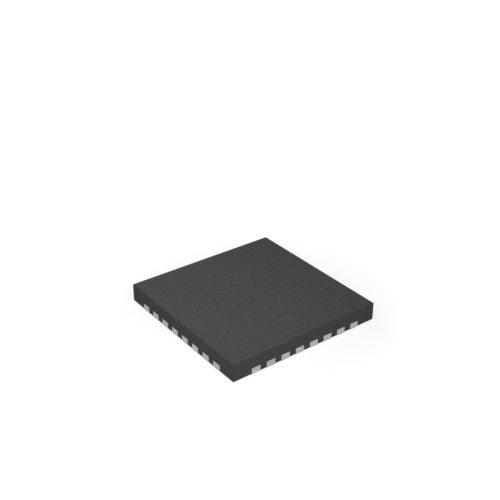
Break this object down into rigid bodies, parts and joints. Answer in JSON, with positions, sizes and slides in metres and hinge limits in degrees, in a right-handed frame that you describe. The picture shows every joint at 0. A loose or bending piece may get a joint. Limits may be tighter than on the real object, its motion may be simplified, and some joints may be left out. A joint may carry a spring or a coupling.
{
  "type": "quad flat no-lead chip package",
  "caption": "Square surface-mount chip package with flush lands along all four sides and an exposed thermal pad, holding a wire-bonded silicon die.",
  "frame": {"origin": "centre of the package on the plane that its lands stand on", "axes": "+Z out of the top face; X and Y along the sides; lead_01 is at the +Y end of the -X side and the leads count anticlockwise seen from above"},
  "size_m": [0.005, 0.005, 0.0006],
  "materials": {
    "mould": "dark grey filled epoxy, matt with a fine grain",
    "plated_copper": "matt tin plate on copper, satin",
    "die_adhesive": "silver-filled adhesive, dull",
    "silicon": "polished silicon",
    "gold_wire": "drawn gold wire, bright"
  },
  "bodies": {
    "root": {"mould_body": "mould", "thermal_pad": "plated_copper", "die_attach": "die_adhesive", "silicon_die": "silicon", "bond_wires_left": "gold_wire", "bond_wires_front": "gold_wire", "bond_wires_right": "gold_wire", "bond_wires_back": "gold_wire", "lead_01": "plated_copper", "lead_02": "plated_copper", "lead_03": "plated_copper", "lead_04": "plated_copper", "lead_05": "plated_copper", "lead_06": "plated_copper", "lead_07": "plated_copper", "lead_08": "plated_copper", "lead_09": "plated_copper", "lead_10": "plated_copper", "lead_11": "plated_copper", "lead_12": "plated_copper", "lead_13": "plated_copper", "lead_14": "plated_copper", "lead_15": "plated_copper", "lead_16": "plated_copper", "lead_17": "plated_copper", "lead_18": "plated_copper", "lead_19": "plated_copper", "lead_20": "plated_copper", "lead_21": "plated_copper", "lead_22": "plated_copper", "lead_23": "plated_copper", "lead_24": "plated_copper", "lead_25": "plated_copper", "lead_26": "plated_copper", "lead_27": "plated_copper", "lead_28": "plated_copper", "lead_29": "plated_copper", "lead_30": "plated_copper", "lead_31": "plated_copper", "lead_32": "plated_copper"}
  },
  "joints": []
}
